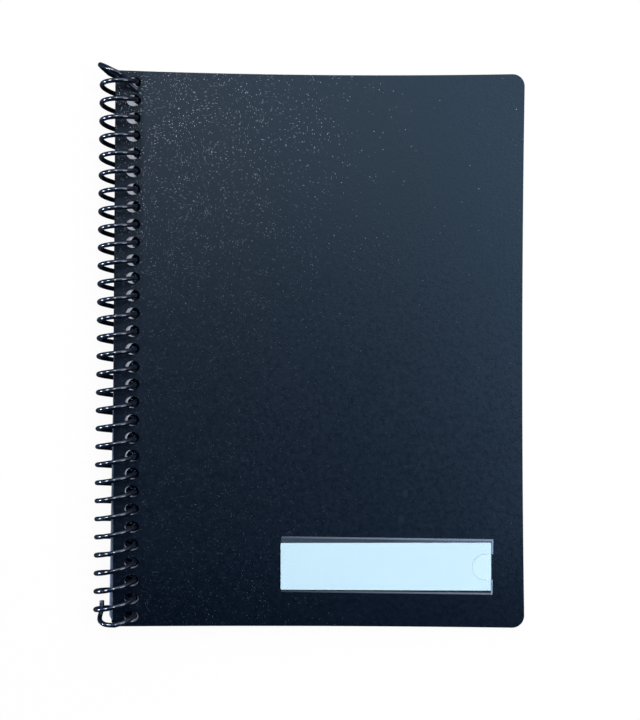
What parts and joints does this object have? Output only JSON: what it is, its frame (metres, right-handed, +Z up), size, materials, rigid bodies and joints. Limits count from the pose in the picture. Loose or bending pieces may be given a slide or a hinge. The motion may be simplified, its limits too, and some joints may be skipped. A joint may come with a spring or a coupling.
{
  "type": "marching band folder",
  "caption": "Spiral-bound marching band folder: black grained covers and clear music sleeves turn on a plastic coil, and a card slides out of a clear name pocket on the front.",
  "frame": {"origin": "middle of the bounding box of the closed folder, on the surface that it lies on", "axes": "+X from the spine coil to the fore edge, +Y along the spine towards the top edge, +Z up out of the front cover"},
  "size_m": [0.1515, 0.1985, 0.0143],
  "materials": {
    "cover": "fine leather grain",
    "coil": "gloss",
    "sleeve_film": "clear film",
    "pocket_film": "clear film",
    "card": "plain card"
  },
  "bodies": {
    "back_leaf": {"back_cover": "cover"},
    "front_leaf": {"front_cover": "cover", "pocket_backing": "pocket_film", "pocket_window": "pocket_film"},
    "coil": {"spiral_coil": "coil"},
    "card": {"name_card": "card"},
    "sleeve_1": {"sleeve_1_rear_film": "sleeve_film", "sleeve_1_front_film": "sleeve_film"},
    "sleeve_2": {"sleeve_2_rear_film": "sleeve_film", "sleeve_2_front_film": "sleeve_film"},
    "sleeve_3": {"sleeve_3_rear_film": "sleeve_film", "sleeve_3_front_film": "sleeve_film"},
    "sleeve_4": {"sleeve_4_rear_film": "sleeve_film", "sleeve_4_front_film": "sleeve_film"},
    "sleeve_5": {"sleeve_5_rear_film": "sleeve_film", "sleeve_5_front_film": "sleeve_film"},
    "sleeve_6": {"sleeve_6_rear_film": "sleeve_film", "sleeve_6_front_film": "sleeve_film"},
    "sleeve_7": {"sleeve_7_rear_film": "sleeve_film", "sleeve_7_front_film": "sleeve_film"}
  },
  "joints": [
    {"name": "front_cover_turn", "type": "hinge", "parent": "back_leaf", "child": "front_leaf", "pos_m": [-0.06812, 0, 0.00715], "axis": [0, -1, 0], "range_deg": [0, 180]},
    {"name": "coil_roll", "type": "hinge", "parent": "back_leaf", "child": "coil", "pos_m": [-0.06812, 0, 0.00715], "axis": [0, -1, 0], "range_deg": [0, 90]},
    {"name": "sleeve_1_turn", "type": "hinge", "parent": "back_leaf", "child": "sleeve_1", "pos_m": [-0.06812, 0, 0.00715], "axis": [0, -1, 0], "range_deg": [0, 177.84]},
    {"name": "sleeve_2_turn", "type": "hinge", "parent": "back_leaf", "child": "sleeve_2", "pos_m": [-0.06812, 0, 0.00715], "axis": [0, -1, 0], "range_deg": [0, 175.68]},
    {"name": "sleeve_3_turn", "type": "hinge", "parent": "back_leaf", "child": "sleeve_3", "pos_m": [-0.06812, 0, 0.00715], "axis": [0, -1, 0], "range_deg": [0, 173.52]},
    {"name": "sleeve_4_turn", "type": "hinge", "parent": "back_leaf", "child": "sleeve_4", "pos_m": [-0.06812, 0, 0.00715], "axis": [0, -1, 0], "range_deg": [0, 171.36]},
    {"name": "sleeve_5_turn", "type": "hinge", "parent": "back_leaf", "child": "sleeve_5", "pos_m": [-0.06812, 0, 0.00715], "axis": [0, -1, 0], "range_deg": [0, 169.2]},
    {"name": "sleeve_6_turn", "type": "hinge", "parent": "back_leaf", "child": "sleeve_6", "pos_m": [-0.06812, 0, 0.00715], "axis": [0, -1, 0], "range_deg": [0, 167.04]},
    {"name": "sleeve_7_turn", "type": "hinge", "parent": "back_leaf", "child": "sleeve_7", "pos_m": [-0.06812, 0, 0.00715], "axis": [0, -1, 0], "range_deg": [0, 164.88]},
    {"name": "name_card_slide", "type": "slide", "parent": "front_leaf", "child": "card", "axis": [0.9997, -0.0097, -0.0208], "range_m": [0, 0.07]}
  ],
  "couplings": [
    {"joint": "coil_roll", "follows": "front_cover_turn", "ratio": 0.5},
    {"joint": "sleeve_1_turn", "follows": "front_cover_turn", "ratio": 0.988},
    {"joint": "sleeve_2_turn", "follows": "front_cover_turn", "ratio": 0.976},
    {"joint": "sleeve_3_turn", "follows": "front_cover_turn", "ratio": 0.964},
    {"joint": "sleeve_4_turn", "follows": "front_cover_turn", "ratio": 0.952},
    {"joint": "sleeve_5_turn", "follows": "front_cover_turn", "ratio": 0.94},
    {"joint": "sleeve_6_turn", "follows": "front_cover_turn", "ratio": 0.928},
    {"joint": "sleeve_7_turn", "follows": "front_cover_turn", "ratio": 0.916}
  ]
}
